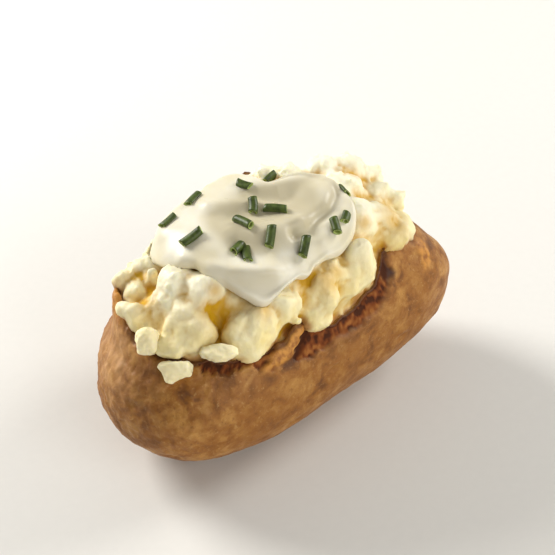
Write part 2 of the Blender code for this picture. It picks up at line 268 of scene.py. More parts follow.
def linear(hex_colour):
    """A colour for a socket from its sRGB hex value."""
    channels = [int(hex_colour[at:at + 2], 16) / 255.0 for at in (1, 3, 5)]
    return (*(part / 12.92 if part <= 0.04045 else ((part + 0.055) / 1.055) ** 2.4
              for part in channels), 1.0)


def add_node(tree, kind, inputs=None, stops=None, **settings):
    """A node with its settings. An input is a plain value, or the socket that feeds it.

    The stops of a colour ramp are given as (position, colour).
    """
    node = tree.nodes.new(kind)
    for name, value in settings.items():
        setattr(node, name, value)
    for name, value in (inputs or {}).items():
        if isinstance(value, bpy.types.NodeSocket):
            tree.links.new(value, node.inputs[name])
        else:
            node.inputs[name].default_value = value
    if stops:
        ramp = node.color_ramp
        while len(ramp.elements) < len(stops):
            ramp.elements.new(1.0)
        for element, (position, colour) in zip(ramp.elements, stops):
            element.position = position
            element.color = colour
    return node


def per_metre(millimetres):
    """The scale of a pattern whose features are that far apart."""
    return 1000.0 / millimetres


def new_surface(name, *patterns):
    """A material with its node tree, its Principled shader and its cloudy patterns, numbers about 0.5.

    A pattern is given by how far apart its clouds are in mm, its detail, its roughness and its distortion.
    """
    material = bpy.data.materials.new(name)
    material.use_nodes = True
    tree = material.node_tree
    place = add_node(tree, "ShaderNodeTexCoord").outputs["Object"]
    clouds = [add_node(tree, "ShaderNodeTexNoise", {
        "Vector": place, "Scale": per_metre(apart), "Detail": detail, "Roughness": roughness,
        "Distortion": distortion}).outputs["Fac"] for apart, detail, roughness, distortion in patterns]
    return material, tree, tree.nodes["Principled BSDF"], clouds


# Baked potato skin: a dry, thin, leathery layer, matt with a faint oily sheen on the bumps, mottled from
# tan to dark brown. Where the outer layer has torn off, the layer below it is red-brown and rough, and the
# flesh that sticks to the flap and the slit has baked golden.
SKIN_TAN = "#c49148"
SKIN_BROWN = "#945e20"
SKIN_DARK = "#643a15"
SKIN_SPECK = "#dcb473"
SKIN_DUST_AND_LIGHT = "#dcab74"
TORN_DARK = "#45200a"
TORN_RED = "#763c16"
TORN_LIGHT = "#99602c"
GOLDEN = "#c98c3c"
GOLDEN_DARK = "#93591f"
INNER_WALL = "#c9a05c"

PALE_SHARE = 0.62  # how far the pale end, dusty flakes and painted light, hides the colour below it
SHADE_UNDER_HEAP_SHARE = 0.75  # how far the painted shade under the heap does

skin, tree, shader, (broad, patches, grain, crust, pores) = new_surface(
    "baked_potato_skin", (22.0, 3.0, 0.55, 0.0), (6.0, 4.0, 0.6, 0.4), (1.3, 4.0, 0.65, 0.0),
    (2.4, 4.0, 0.55, 0.0), (0.5, 3.0, 0.55, 0.0))
base = add_node(tree, "ShaderNodeValToRGB", {"Fac": patches}, [
    (0.30, linear(SKIN_DARK)), (0.47, linear(SKIN_BROWN)), (0.72, linear(SKIN_TAN))]).outputs["Color"]
# Browner patches, pale specks and dark pores: where in a pattern they begin and are full, and their share.
for pattern, begin, full, most, colour in (
        (broad, 0.35, 0.65, 0.55, SKIN_BROWN),
        (grain, 0.58, 0.75, 0.35, SKIN_SPECK),
        (grain, 0.42, 0.27, 0.6, SKIN_DARK)):
    share = add_node(tree, "ShaderNodeMapRange", {
        "Value": pattern, "From Min": begin, "From Max": full, "To Max": most}).outputs["Result"]
    base = add_node(tree, "ShaderNodeMix", {
        0: share, 6: base, 7: linear(colour)}, data_type="RGBA").outputs[2]
streaks = add_node(tree, "ShaderNodeAttribute", attribute_name="fibres").outputs["Fac"]
torn_colour = add_node(tree, "ShaderNodeValToRGB", {"Fac": streaks}, [
    (0.25, linear(TORN_DARK)), (0.5, linear(TORN_RED)), (0.8, linear(TORN_LIGHT))]).outputs["Color"]
golden_colour = add_node(tree, "ShaderNodeValToRGB", {"Fac": crust}, [
    (0.34, linear(GOLDEN_DARK)), (0.58, linear(GOLDEN))]).outputs["Color"]
# What is marked on the skin, each laid over the one before it: its name, its share and its colour. The pale
# end is dusty flakes with painted light, the dark mark is painted shade under the heap, and the burnt mark
# is burnt edges with painted shadow beside the tab and in the crack below the flap.
for name, most, colour in (
        ("pale", PALE_SHARE, linear(SKIN_DUST_AND_LIGHT)), ("painted_shade", SHADE_UNDER_HEAP_SHARE, linear(SKIN_DARK)),
        ("torn", 1.0, torn_colour), ("golden", 1.0, golden_colour),
        ("burnt_and_shadow", 1.0, linear(TORN_DARK)), ("inside", 1.0, linear(INNER_WALL))):
    share = add_node(tree, "ShaderNodeAttribute", attribute_name=name).outputs["Fac"]
    share = add_node(tree, "ShaderNodeMath", {0: share, 1: most}, operation="MULTIPLY").outputs[0]
    base = add_node(tree, "ShaderNodeMix", {0: share, 6: base, 7: colour}, data_type="RGBA").outputs[2]
tree.links.new(base, shader.inputs["Base Color"])
rough = add_node(tree, "ShaderNodeMapRange", {
    "Value": patches, "From Min": 0.3, "From Max": 0.7, "To Min": 0.62, "To Max": 0.46}).outputs["Result"]
torn = add_node(tree, "ShaderNodeAttribute", attribute_name="torn").outputs["Fac"]
rough = add_node(tree, "ShaderNodeMath", {0: rough, 1: torn}, operation="MAXIMUM").outputs[0]
tree.links.new(rough, shader.inputs["Roughness"])
relief = add_node(tree, "ShaderNodeBump", {
    "Height": grain, "Strength": 0.4, "Distance": 0.5 * MM}).outputs["Normal"]
relief = add_node(tree, "ShaderNodeBump", {
    "Height": pores, "Strength": 0.35, "Distance": 0.2 * MM, "Normal": relief})
tree.links.new(relief.outputs["Normal"], shader.inputs["Normal"])
shader.inputs["IOR"].default_value = 1.45
shader.inputs["Specular IOR Level"].default_value = 0.42
shader.inputs["Subsurface Weight"].default_value = 0.06
shader.inputs["Subsurface Radius"].default_value = (1.0, 0.45, 0.2)
shader.inputs["Subsurface Scale"].default_value = 1.2 * MM


def skin_marks(bearing, level, rim):
    """How torn and golden the skin is at a place, and how dark from burnt edges and painted shadow, 0 to 1
    each.
    """
    across = smooth_step((TEAR_HALF_WIDTH - abs(turn_between(bearing, TEAR_BEARING))) / 8.0)
    fade = TEAR_FADE + TEAR_FRAYING * smooth_step(turn_between(bearing, TEAR_BEARING) / 12.0)
    torn = across * smooth_step((level - tear_edge(bearing)) / fade)
    flap = along_strip(bearing, level, *GOLDEN_FLAP)
    slit = along_strip(bearing, level, *GOLDEN_SLIT)
    tab = smooth_step((level - 38.0) / 3.0) * bump(bearing, 152.0, 12.0)
    beside_slit = 0.9 * smooth_step((level - 41.5) / 2.5) * bump(bearing, 336.0, 7.0)
    far_lip = 0.8 * smooth_step((level - rim + 5.0) / 4.0) * bump(bearing, 32.0, 40.0)
    golden = max(flap, slit, tab, beside_slit, far_lip)
    below_flap = along_strip(bearing, level, *CRACK_BELOW_FLAP)
    slit_end = bump(bearing, 325.0, 4.0) * bump(level, 45.0, 2.5)
    # Painted shadow along the tab's edge beside the flesh.
    tab_shadow = along_strip(bearing, level, *TAB_EDGE_SHADOW)
    burnt_rim = 0.7 * smooth_step((level - rim + 1.2) / 1.2)
    burnt_and_shadow = max(below_flap * (1.0 - flap), slit_end, tab_shadow, burnt_rim * (1.0 - tab))
    return torn * (1.0 - flap), golden, min(1.0, burnt_and_shadow)


def fibres(bearing, level):
    """Streaks of the torn layer, which run down from the rim: about 0.5."""
    streak = 0.45 * noise.noise(Vector((bearing / 4.5, level / 6.0, 4.0)))
    return 0.45 + streak + 0.5 * noise.noise(Vector((bearing / 1.3, level / 3.0, 9.0)))


def skin_paleness_and_shade(bearing, level):
    """How pale the skin is, from dusty flakes and painted light on the -X end, and how dark from painted
    shade under the overhanging heap, 0 to 1 each.
    """
    patchy = 0.5 + 0.9 * noise.noise(Vector((bearing / 7.0, level / 5.0, 14.0)))
    # Pale dusty flakes on the -X end, with painted light where that end faces the lamp.
    pale = bump(bearing, 160.0, 15.0) * bump(level, 28.0, 17.0) * min(1.0, max(0.0, patchy + 0.25))
    # Painted shade under the overhanging flesh, at the -X end and on the near side.
    painted_shade = bump(bearing, 184.0, 13.0) * bump(level, 25.0, 14.0)
    painted_shade = max(painted_shade, 0.5 * bump(bearing, 270.0, 14.0) * bump(level, 20.0, 6.0))
    return pale, painted_shade * min(1.0, max(0.0, 1.2 - patchy))


def skin_relief(point, bearing, level, marks):
    """How far the skin stands out from the potato's smooth form."""
    torn, golden, burnt_and_shadow = marks
    wrinkled_end = smooth_step((-point.x - 18.0 * MM) / (34.0 * MM)) * smooth_step((level + 30.0) / 30.0)
    height = sum((plain + added * wrinkled_end) * MM * noise.noise(point * per_metre(apart))
                 for plain, added, apart in SKIN_BUMPS)
    edge = level - tear_edge(bearing)
    if abs(turn_between(bearing, TEAR_BEARING)) < TEAR_HALF_WIDTH - 3.0:
        curl = 0.6 + 0.6 * wander(bearing / 3.0, 1.0)
        height += TORN_LIP * math.exp(-(((edge + 0.8) / 0.9) ** 2)) * curl
    height -= torn * (TEAR_DEPTH - 0.45 * MM * (fibres(bearing, level) - 0.5))
    height += 0.3 * torn * MM * noise.noise(point * per_metre(1.9))
    height += 0.4 * MM * golden
    height -= 0.8 * MM * burnt_and_shadow
    return max(height, -DEEPEST_RELIEF)


def eye_relief(points):
    """The pits of the potato's eyes, each with a low brow above it."""
    depth = np.zeros(len(points))
    for bearing, level in EYES:
        away = points - np.array(body_point(bearing, level))
        beside = np.hypot(away[:, 0], away[:, 1])
        pit = np.hypot(beside, away[:, 2] * 1.9) / EYE_RADIUS
        brow = np.hypot(beside / EYE_RADIUS, (away[:, 2] / EYE_RADIUS - 0.9) * 2.4)
        depth -= EYE_DEPTH * np.exp(-pit ** 2)
        depth += 0.45 * EYE_DEPTH * np.exp(-brow ** 2)
    return depth


vertices = [body_point(0.0, -90.0)]
places = [(0.0, -90.0, 34.0, 0.0)]
for share, past_rim, inset in jacket_rings():
    for step in range(JACKET_SEGMENTS):
        bearing = 360.0 * step / JACKET_SEGMENTS
        ragged = RIM_RAGGEDNESS * (0.8 * wander(bearing / 5.0, 21.0) + 0.5 * wander(bearing / 1.7, 22.0))
        rim = rim_level(bearing) + ragged
        level = -90.0 + share * (rim + 90.0) + past_rim
        vertices.append(body_point(bearing, level, inset))
        places.append((bearing, level, rim, inset / JACKET_WALL))
vertices.append(body_point(0.0, -90.0, JACKET_WALL))
places.append((0.0, -90.0, 34.0, 1.0))

faces = shell_faces(OUTER_RINGS + LIP_RINGS + INNER_RINGS, JACKET_SEGMENTS)
jacket = mesh_piece("baked_jacket", vertices, faces, skin)

heights = []
marked = []
for point, (bearing, level, rim, inset) in zip(vertices, places):
    torn, golden, burnt_and_shadow = skin_marks(bearing, level, rim)
    outside = smooth_step(1.0 - inset)
    heights.append(skin_relief(point, bearing, level, (torn, golden, burnt_and_shadow)) * outside)
    marked.append((torn * outside, golden, burnt_and_shadow, smooth_step((inset - 0.6) / 0.4),
                   fibres(bearing, level), *skin_paleness_and_shade(bearing, level)))
outer_share = np.array([1.0 - inset for *_, inset in places])
push_out(jacket.data, np.array(heights) + eye_relief(positions(jacket.data)) * outer_share)
standing = positions(jacket.data)
standing[:, 2] = np.maximum(standing[:, 2], 0.0)
jacket.data.vertices.foreach_set("co", standing.ravel())
for name, values in zip(("torn", "golden", "burnt_and_shadow", "inside", "fibres", "pale", "painted_shade"), zip(*marked)):
    mark(jacket.data, name, values)
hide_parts("potato_jacket")
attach(jacket, "root")

# ---- The fluffed flesh ---------------------------------------------------------------------------
# The inside of the potato, broken up with a fork: soft blunt lumps of starchy flesh from 20 mm down to
# crumbs, heaped over the rim. The lumps are rounded many-sided chunks run together into one mass.

HEAP_CENTRE = BODY_MIDDLE + Vector((2.0, 3.0, 15.5)) * MM
HEAP_HALF = Vector((52.0, 27.5, 30.5)) * MM
HEAP_CORE = 0.90  # the core under the lumps, as a share of the heap
FLESH_VOXEL = 0.59 * MM

# How far down the heap comes over the rim: degrees of level, with its bays and tongues given as
# (bearing, degrees of level, half-width in degrees).
FLESH_LEVEL = 40.5
FLESH_BAYS = (
    (172.0, -3.5, 13.0),
    (195.0, -2.0, 8.0),
    (231.0, -6.0, 8.0),
    (249.5, 5.0, 4.0),  # the bay over the golden flap
    (261.0, -8.0, 8.0),
    (280.0, -2.0, 4.0),
    (302.5, 14.5, 7.0),  # the bay over the broad tab
    (331.0, 4.5, 6.0),
    (350.0, 5.0, 12.0),
    (156.0, 5.0, 7.0),  # the curled tab stands clear of it
    (60.0, 14.0, 40.0),  # the far wall holds it back
)

# The largest lumps: place in mm from the middle of the body, and half sizes in mm.
LARGE_LUMPS = (
    ((-38.1, -7.9, 25.2), (8.4, 8.0, 9.2)),
    ((-30, -5, 34.8), (6.8, 5.6, 5.4)),
    ((-33.5, 4, 35), (5.5, 5.0, 5.4)),
    ((-37, 2, 31.5), (6.0, 6.4, 6.4)),
    ((-23.5, -16, 23.2), (10.0, 8.0, 9.8)),
    ((-13, -18, 27), (7.0, 5.6, 6.4)),
    ((-41, 13, 25.5), (5.8, 6.2, 7.2)),
    ((-34, 18, 28.4), (6.5, 6.0, 6.5)),
    ((-41, 18.5, 28.4), (4.6, 4.6, 4.4)),
    ((-45.5, 10, 23), (3.8, 4.0, 4.4)),
    ((-42.5, 3.5, 26), (4.8, 5.6, 7.5)),
    ((-43.5, -3, 22.5), (4.6, 4.6, 5.2)),
    ((-47.8, 5, 27), (3.4, 3.6, 5.0)),
    ((-49.3, 9.6, 28.5), (2.8, 2.8, 3.4)),
    ((-46.2, -8.8, 24), (4.6, 4.6, 4.2)),
    ((0.8, -20.4, 22.8), (7.2, 6.2, 9.0)),
    ((-1.8, -21.8, 19.5), (5.8, 5.2, 6.2)),
    ((-28.0, -19.3, 21.2), (6.8, 5.6, 6.6)),
    ((6.5, -18.5, 29), (5.0, 4.4, 5.4)),
    ((17.8, -19.2, 26.6), (7.0, 5.4, 9.8)),
    ((12.2, -19.8, 22.6), (5.6, 5.0, 6.2)),
    ((25.5, -8.5, 33), (8.6, 7.6, 7.8)),
    ((36, -9.5, 27.5), (7.6, 7.4, 8.4)),
    ((37, -15.5, 25.5), (6.0, 5.5, 5.5)),
    ((42.5, -12.5, 24.5), (5.2, 5.2, 5.2)),
    ((42, -1, 30), (6.0, 5.8, 6.6)),
    ((30, 3, 37), (8.0, 7.0, 6.4)),
    ((30.5, 12, 38.2), (7.2, 6.2, 6.6)),
    ((38.5, 8.5, 35.5), (6.6, 6.0, 6.8)),
    ((45, 6, 32), (4.8, 4.4, 5.6)),
    ((47.0, -5.3, 29.6), (3.4, 3.4, 3.8)),
    ((19, 14, 39.8), (6.5, 6.0, 5.5)),
    ((8, 18, 37), (6.5, 6.0, 5.5)),
    ((13, 18.5, 39.8), (5.8, 4.6, 5.6)),
    ((3.5, 21.5, 39), (5.0, 4.2, 5.4)),
    ((22, 20, 31), (6.0, 5.0, 5.5)),
    ((-14, 22, 31), (7.0, 5.0, 5.0)),
    ((-27, 21, 29), (6.0, 5.0, 5.5)),
)
# Long crumbs, most of them upright among the lumps at the -X end: both ends and the radius, in mm.
LONG_CRUMBS = (
    ((-45.5, 6.5, 22), (-45, 6, 30), 2.0),
    ((-44.5, 0.5, 24.5), (-41.5, 2.5, 33.5), 2.2),
    ((-41.0, 17.0, 26), (-40.0, 17.0, 33), 2.2),
    ((-38.0, 11.5, 28), (-37.0, 11.5, 35), 2.3),
    ((-35.0, 6.5, 30), (-34.0, 6.5, 37), 2.2),
    ((-12.6, -23.0, 22.8), (-10.0, -24.0, 23.8), 1.4),
)
# Hollows painted a deeper yellow as painted shade: place and reach in mm.
SHADED_HOLLOWS = (
    ((-33.5, -10.6, 31.5), 4.6),
    ((-30.5, -12.5, 32.0), 3.6),
    ((-32.0, -15.5, 25.5), 3.4),
    ((-32.0, -15.0, 28.5), 3.0),
    ((-31.5, 1.0, 34.5), 3.0),
    ((-44.5, 3.5, 31.0), 3.2),
    ((-40.3, 16.0, 30.5), 3.0),
    ((-30.5, -10.0, 37.5), 2.6),
    ((-20.5, -20.0, 31.0), 3.0),
    ((-2.0, -18.5, 31.0), 4.2),
    ((2.0, -22.0, 30.5), 4.6),
    ((6.0, -21.5, 31.5), 3.2),
    ((36.5, -15.5, 31.5), 4.6),
    ((38.5, -12.0, 33.5), 4.0),
    ((24.5, -14.0, 36.5), 2.6),
    ((36.0, 2.5, 40.5), 3.0),
)
# Crumbs that stick to the lumps, from medium ones to beads: how many, their radii in mm, how far each is
# nudged from an even spread, how far it stands out, and the share that whole smooth flesh has lost.
CRUMBS = (
    (130, (1.8, 3.4), 0.35, -0.45, 0.80),
    (420, (1.0, 2.0), 0.9, 0.0, 0.99),
    (800, (0.55, 1.1), 0.9, 0.3, 1.0),
)
MASS_VOXEL = 0.8 * MM
PACKED_LUMPS = 0.6  # how far crushed flesh fills the crevices of the lumps
PACKED_CRUMBS = 0.4  # and between the crumbs
TOP_HIGHLIGHT_ABOVE = 50.0 * MM  # the top of the heap is painted paler, a painted highlight
TOP_HIGHLIGHT_OVER = 18.0 * MM
BROWNING_REACH = 4.0 * MM  # how far from the jacket the flesh has browned
SMOOTH_BEARING = 262.0  # few crumbs have stuck on this side
SMOOTH_REACH = 92.0  # degrees of bearing to either side

shuffle = random.Random(4)
noise.seed_set(4)  # noise_vector() takes its seed from the clock without it


def ball(subdivisions):
    """The points and faces of a unit sphere made of even triangles."""
    bm = bmesh.new()
    bmesh.ops.create_icosphere(bm, subdivisions=subdivisions, radius=1.0)
    points = np.array([vert.co[:] for vert in bm.verts])
    corners = np.array([[vert.index for vert in face.verts] for face in bm.faces])
    bm.free()
    return points, corners


BALLS = {detail: ball(detail) for detail in (2, 3, 4, 5)}


def random_direction():
    return Vector((shuffle.gauss(0.0, 1.0), shuffle.gauss(0.0, 1.0), shuffle.gauss(0.0, 1.0))).normalized()


def spread_directions(count, covered, nudge):
    """Directions spread evenly from straight up down over a share of the sphere, each nudged."""
    golden_angle = math.pi * (3.0 - math.sqrt(5.0))
    for index in range(count):
        height = 1.0 - covered * (index + 0.5) / count
        turn = golden_angle * index + shuffle.uniform(-nudge, nudge)
        ring = math.sqrt(max(0.0, 1.0 - height * height))
        yield Vector((ring * math.cos(turn), ring * math.sin(turn), height))


def broken_lump(centre, half_sizes, detail, flats=13, bluntness=10.0, turned=None):
    """A many-sided lump with rounded edges, as a fork breaks it: its points and faces."""
    points, corners = BALLS[detail]
    sides = np.array([direction[:] for direction in spread_directions(flats, 2.0, 0.5)])
    sides = sides @ np.array(Matrix.Rotation(shuffle.uniform(0.0, 6.3), 3, random_direction()))
    nearness = np.array([shuffle.uniform(0.74, 1.0) for _ in sides])
    facing = np.maximum(points @ sides.T, 0.0) / nearness
    reach = (facing ** bluntness).sum(axis=1) ** (-1.0 / bluntness)
    reach = np.clip(reach, 0.7, 1.1)
    if turned is None:
        turned = Matrix.Rotation(shuffle.uniform(-0.5, 0.5), 3, random_direction())
    shaped = (points * reach[:, None] * np.array(half_sizes)) @ np.array(turned).T
    return shaped + np.array(centre), corners


class Heap:
    """Points and faces of many lumps, collected into one mesh."""

    def __init__(self):
        self.points = []
        self.corners = []
        self.count = 0

    def add(self, points, corners):
        self.points.append(points)
        self.corners.append(corners + self.count)
        self.count += len(points)

    def add_mesh(self, mesh):
        mesh.calc_loop_triangles()
        corners = np.empty(len(mesh.loop_triangles) * 3, dtype=np.int64)
        mesh.loop_triangles.foreach_get("vertices", corners)
        self.add(positions(mesh).astype(np.float64), corners.reshape(-1, 3))

    def tree(self):
        return BVHTree.FromPolygons(
            np.vstack(self.points).tolist(), np.vstack(self.corners).tolist(), all_triangles=True)

    def piece(self, name, material):
        return mesh_piece(name, np.vstack(self.points).tolist(), np.vstack(self.corners).tolist(), material)


def on_heap(direction, share=1.0):
    """The point of the heap's smooth form in that direction."""
    return HEAP_CENTRE + Vector(part * half for part, half in zip(direction, HEAP_HALF)) * share


def bearing_of(point):
    """The bearing of a point in the part, as body_point() gives it."""
    away = point - BODY_MIDDLE
    along = away.x / HALF_LENGTH
    for _ in range(5):
        bend = KIDNEY_BEND * (along * along - KIDNEY_MIDDLE)
        across = (away.y - bend) / (HALF_WIDTH * (1.0 - WIDTH_TAPER * along))
        along = (away.x - LEAN * across) / HALF_LENGTH
    return math.degrees(math.atan2(across, along)) % 360.0


def flesh_edge(bearing):
    """The level down to which the heap comes outside the rim."""
    return FLESH_LEVEL + rises(bearing, FLESH_BAYS)


def above_edge(point, clearance):
    """Whether a point lies above the heap's lower edge by at least clearance."""
    bearing = bearing_of(point)
    return point.z > body_point(bearing, flesh_edge(bearing)).z + clearance


def smoothness(point):
    """1 where the fork has left the lumps whole and smooth, 0 where the flesh is crumbly."""
    bearing = bearing_of(point)
    near_side = smooth_step((SMOOTH_REACH - abs(turn_between(bearing, SMOOTH_BEARING))) / 14.0)
    near_side = max(near_side, 0.7 * smooth_step((point.x - 14.0 * MM) / (12.0 * MM)))
    return max(near_side, 0.85 * bump(bearing, 160.0, 26.0))


# The flesh of a floury potato: pale cream-yellow, faintly shiny from its steam, and translucent. Its
# crevices are painted a deeper yellow, painted shade for the light that comes back out of them, and the top
# of the heap is painted paler, a painted highlight.
FLESH_LIGHT = "#f7ebbc"
FLESH_YELLOW = "#ead383"
FLESH_TOP_HIGHLIGHT = "#fdf8e2"
FLESH_DEEP_SHADE = "#d0a012"
FLESH_BROWNED = "#b5742c"

flesh_surface, tree, shader, (clouds, fine) = new_surface(
    "floury_potato_flesh", (9.0, 3.0, 0.55, 0.0), (1.1, 3.0, 0.6, 0.0))
share = add_node(tree, "ShaderNodeMapRange", {
    "Value": clouds, "From Min": 0.35, "From Max": 0.68, "To Min": 0.0, "To Max": 0.75}).outputs["Result"]
base = add_node(tree, "ShaderNodeMix", {
    0: share, 6: linear(FLESH_LIGHT), 7: linear(FLESH_YELLOW)}, data_type="RGBA").outputs[2]
# Painted highlight on the top, painted shade in the crevices, and browning by the jacket, laid over the
# flesh's colour.
for name, colour in (("painted_light", FLESH_TOP_HIGHLIGHT), ("hollow", FLESH_DEEP_SHADE), ("browned", FLESH_BROWNED)):
    share = add_node(tree, "ShaderNodeAttribute", attribute_name=name).outputs["Fac"]
    base = add_node(tree, "ShaderNodeMix", {
        0: share, 6: base, 7: linear(colour)}, data_type="RGBA").outputs[2]
tree.links.new(base, shader.inputs["Base Color"])
rough = add_node(tree, "ShaderNodeMapRange", {
    "Value": fine, "From Min": 0.3, "From Max": 0.7, "To Min": 0.38, "To Max": 0.58}).outputs["Result"]
tree.links.new(rough, shader.inputs["Roughness"])
relief = add_node(tree, "ShaderNodeBump", {"Height": fine, "Strength": 0.6, "Distance": 0.35 * MM})
tree.links.new(relief.outputs["Normal"], shader.inputs["Normal"])
shader.inputs["IOR"].default_value = 1.42
shader.inputs["Subsurface Weight"].default_value = 0.35
shader.inputs["Subsurface Radius"].default_value = (0.95, 0.86, 0.4)
shader.inputs["Subsurface Scale"].default_value = 1.8 * MM

def keep_largest(mesh):
    """Leave only the body with the most vertices, so that no crumb hangs in the air."""
    bm = bmesh.new()
    bm.from_mesh(mesh)
    waiting = set(bm.verts)
    bodies = []
    while waiting:
        edge_of_body = [waiting.pop()]
        body = list(edge_of_body)
        while edge_of_body:
            vert = edge_of_body.pop()
            for edge in vert.link_edges:
                other = edge.other_vert(vert)
                if other in waiting:
                    waiting.remove(other)
                    edge_of_body.append(other)
                    body.append(other)
        bodies.append(body)
    bodies.sort(key=len)
    bmesh.ops.delete(bm, geom=[vert for body in bodies[:-1] for vert in body], context="VERTS")
    bm.to_mesh(mesh)
    bm.free()


def run_together(piece, voxel, rounds):
    """One closed skin round all the overlapping bodies of a piece, softened a number of times."""
    remesh = piece.modifiers.new("run_together", "REMESH")
    remesh.mode = "VOXEL"
    remesh.voxel_size = voxel
    soften = piece.modifiers.new("soften", "SMOOTH")
    soften.factor = 0.5
    soften.iterations = rounds
    mesh = bpy.data.meshes.new_from_object(piece.evaluated_get(bpy.context.evaluated_depsgraph_get()))
    bpy.data.objects.remove(piece)
    keep_largest(mesh)
    return mesh


def neighbour_average(values, edges, rounds):
    """Each vertex's value evened out with its neighbours' a number of times."""
    joins = np.bincount(edges.ravel(), minlength=len(values))[:, None]
    for _ in range(rounds):
        total = np.zeros_like(values)
        for axis in range(values.shape[1]):
            total[:, axis] = np.bincount(edges[:, 0], values[edges[:, 1], axis], len(values))
            total[:, axis] += np.bincount(edges[:, 1], values[edges[:, 0], axis], len(values))
        values = 0.4 * values + 0.6 * total / np.maximum(joins, 1)
    return values


def hollowness(mesh, rounds):
    """How far each vertex lies under the evened-out surface, in metres."""
    edges = np.empty(len(mesh.edges) * 2, dtype=np.int64)
    mesh.edges.foreach_get("vertices", edges)
    own = positions(mesh).astype(np.float64)
    even = neighbour_average(own, edges.reshape(-1, 2), rounds)
    return ((even - own) * normals_of(mesh)).sum(axis=1)


heap = Heap()
ball_points, ball_corners = BALLS[4]
filling = []
for direction in ball_points:
    bearing = math.degrees(math.atan2(direction[1], direction[0])) % 360.0
    level = math.degrees(math.asin(max(-1.0, min(1.0, direction[2]))))
    rim = rim_level(bearing)
    point = body_point(bearing, min(max(level, -12.0), rim - 1.0), 0.8 * JACKET_WALL)
    inward = max(0.0, (level - rim) / (90.0 - rim))
    point = point.lerp(HEAP_CENTRE + Vector((0.0, 0.0, 10.0 * MM)), inward)
    sunken = max(0.0, (-12.0 - level) / 78.0)
    point = point.lerp(BODY_MIDDLE - Vector((0.0, 0.0, 8.0 * MM)), sunken)
    filling.append(point[:])
heap.add(np.array(filling), ball_corners)
core = ball_points * np.array(HEAP_HALF) * HEAP_CORE + np.array(HEAP_CENTRE)
heap.add(core, ball_corners)
for lump_place, half_sizes in LARGE_LUMPS:
    centre = BODY_MIDDLE + Vector(lump_place) * MM
    heap.add(*broken_lump(centre, Vector(half_sizes) * MM, 4, flats=12, bluntness=11.0))
masses = run_together(heap.piece("flesh_masses", flesh_surface), MASS_VOXEL, 5)
push_out(masses, PACKED_LUMPS * np.clip(hollowness(masses, 90), 0.0, None))

crumbs = Heap()
crumbs.add_mesh(masses)
surface = crumbs.tree()
for start, end, radius in LONG_CRUMBS:
    along = (Vector(end) - Vector(start)) * MM
    upright = along.to_track_quat("Z", "Y").to_matrix()
    sizes = (radius * MM, radius * MM, along.length / 2.0 + 0.5 * radius * MM)
    centre = BODY_MIDDLE + (Vector(start) + Vector(end)) * 0.5 * MM
    crumbs.add(*broken_lump(centre, sizes, 3, turned=upright))
for count, (smallest, largest), nudge, share_out, left_off in CRUMBS:
    for direction in spread_directions(count, 0.95, nudge):
        outside = on_heap(direction, 1.6)
        hit, normal, _, _ = surface.ray_cast(outside, (on_heap(direction, 0.3) - outside).normalized())
        radius = shuffle.uniform(smallest * MM, largest * MM)
        sizes = [radius * shuffle.uniform(0.75, 1.3) for _ in range(3)]
        smooth = smoothness(hit) if hit else 1.0
        keep = shuffle.random() > left_off * smooth
        if hit and keep and above_edge(hit, 0.8 * radius):
            raised = radius * (share_out - 0.3 * smooth)
            crumbs.add(*broken_lump(hit + normal * raised, sizes, 3 if radius > MM else 2))
run = run_together(crumbs.piece("flesh_crumbs", flesh_surface), FLESH_VOXEL, 2)
run.shade_smooth()
flesh = bpy.data.objects.new("fluffed_potato", run)
bpy.context.scene.collection.objects.link(flesh)


def curds(point, millimetres):
    """The rounded tops and narrow creases of broken flesh: 0 in a crease, 1 on top."""
    bent = 0.45 * noise.noise_vector(point * per_metre(1.3 * millimetres))
    nearest, _ = noise.voronoi(point * per_metre(millimetres) + bent)
    return smooth_step((nearest[1] - nearest[0]) / 0.5)


def unevenness(vert):
    """How far the broken surface stands out: crumbly above and behind, smoother on the near side."""
    crumbly = 1.0 - smoothness(vert.co)
    rise = 0.40 * noise.noise(vert.co * per_metre(5.0))
    rise += (0.50 + 0.10 * crumbly) * (curds(vert.co, 7.5) - 0.6)
    rise += (0.17 + 0.15 * crumbly) * (curds(vert.co, 2.9) - 0.5)
    rise += (0.14 + 0.06 * crumbly) * noise.noise(vert.co * per_metre(1.3))
    return rise * MM


push_out(run, PACKED_CRUMBS * np.clip(hollowness(run, 30), 0.0, None))
push_out(run, [unevenness(vert) for vert in run.vertices])


def tuck_in(mesh, wall, gap):
    """Move the flesh that lies below the heap's lower edge to inside the jacket."""
    for vert in mesh.vertices:
        bearing = bearing_of(vert.co)
        if vert.co.z < body_point(bearing, flesh_edge(bearing)).z:
            away = vert.co - BODY_MIDDLE
            hit, _, _, distance = wall.ray_cast(BODY_MIDDLE, away.normalized())
            if hit and away.length > distance - gap:
                vert.co = BODY_MIDDLE + away.normalized() * (distance - gap)


jacket_tree = BVHTree.FromObject(jacket, bpy.context.evaluated_depsgraph_get())
tuck_in(run, jacket_tree, 0.3 * MM)
run.update()
# Painted shade: the crevices, and the listed hollows most, are painted a deeper yellow.
hollow = 0.8 * np.clip(hollowness(run, 120) / (1.3 * MM), 0.0, 1.0)
hollow += 0.35 * np.clip(hollowness(run, 16) / (0.5 * MM), 0.0, 1.0)
crevice_shade = np.zeros(len(hollow))
for hollow_place, reach in SHADED_HOLLOWS:
    away = np.linalg.norm(positions(run) - np.array(BODY_MIDDLE + Vector(hollow_place) * MM), axis=1)
    crevice_shade = np.maximum(crevice_shade, np.exp(-(away / (reach * MM)) ** 2))
mark(run, "hollow", np.clip(hollow + crevice_shade * (0.7 + hollow), 0.0, 1.0))
